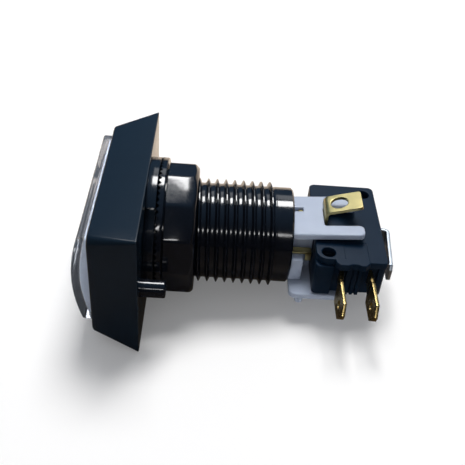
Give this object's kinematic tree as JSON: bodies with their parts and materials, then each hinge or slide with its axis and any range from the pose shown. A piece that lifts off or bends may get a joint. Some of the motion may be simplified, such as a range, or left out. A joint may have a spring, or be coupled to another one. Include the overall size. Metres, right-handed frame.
{
  "type": "rectangular illuminated arcade push button",
  "caption": "Rectangular lit arcade push button: clear crowned cap in a tapered bezel, threaded barrel with toothed ring nut, lamp holder and snap-action switch.",
  "frame": {"origin": "middle of the bezel's rear face, where the button's axis meets the panel", "axes": "+Z along the button's axis towards the cap, X along the bezel's short side, Y along its long side with the locating peg at -Y"},
  "size_m": [0.033, 0.0513, 0.0721],
  "materials": {
    "bezel_black": "moulded black plastic: satin on the bezel, glossy on the barrel",
    "nut_black": "glossy black moulded plastic",
    "clear_lens": "clear polished plastic",
    "white_diffuser": "white translucent plastic",
    "white_carrier": "milky white moulded plastic",
    "white_nylon": "milky translucent nylon",
    "spring_steel": "drawn steel wire",
    "brass": "rolled and punched brass",
    "tinned_steel": "tinned strip",
    "switch_black": "satin black thermoset",
    "switch_pin": "smooth black plastic",
    "blade_bronze": "thin bronze spring strip",
    "silver_contact": "silver contact buttons",
    "lamp_plastic": "white lamp base",
    "lamp_clear": "clear lamp dome"
  },
  "bodies": {
    "body": {"housing": "bezel_black", "return_spring": "spring_steel", "lamp_holder": "white_nylon", "lamp_terminal_upper": "brass", "lamp_terminal_lower": "brass", "lamp_link": "brass", "lamp_base": "lamp_plastic", "lamp_dome": "lamp_clear", "lamp_lead_upper": "tinned_steel", "lamp_lead_lower": "tinned_steel", "switch_case": "switch_black", "switch_cover": "switch_black", "closed_terminal": "brass", "open_terminal": "brass", "common_terminal": "tinned_steel", "closed_contact": "silver_contact", "open_contact": "silver_contact"},
    "cap": {"lens_cap": "clear_lens", "diffuser": "white_diffuser", "plunger": "white_carrier"},
    "ring": {"lock_ring": "nut_black"},
    "nut": {"mounting_nut": "nut_black"},
    "switch_pin": {"switch_plunger": "switch_pin"},
    "blade": {"moving_blade": "blade_bronze", "snap_spring": "blade_bronze", "moving_contact_upper": "silver_contact", "moving_contact_lower": "silver_contact"}
  },
  "joints": [
    {"name": "cap_press", "type": "slide", "parent": "body", "child": "cap", "axis": [0, 0, -1], "range_m": [0, 0.003], "stiffness_N_per_m": 250, "springref_m": -0.002, "deforming": ["return_spring"]},
    {"name": "switch_pin_press", "type": "slide", "parent": "body", "child": "switch_pin", "axis": [0, 0, -1], "range_m": [0, 0.0012]},
    {"name": "blade_swing", "type": "hinge", "parent": "body", "child": "blade", "pos_m": [0, 0.011, -0.04525], "axis": [1, 0, 0], "range_deg": [0, 4]},
    {"name": "ring_slide", "type": "slide", "parent": "body", "child": "ring", "axis": [0, 0, -1], "range_m": [0, 0.01656]},
    {"name": "nut_turn", "type": "hinge", "parent": "ring", "child": "nut", "pos_m": [0, 0, -0.006], "axis": [0, 0, -1], "range_deg": [0, 2880]}
  ],
  "couplings": [
    {"joint": "switch_pin_press", "follows": "cap_press", "ratio": 0.3999},
    {"joint": "blade_swing", "follows": "cap_press", "rad_per_m": 23.25},
    {"joint": "nut_turn", "follows": "ring_slide", "rad_per_m": 3035.4}
  ]
}
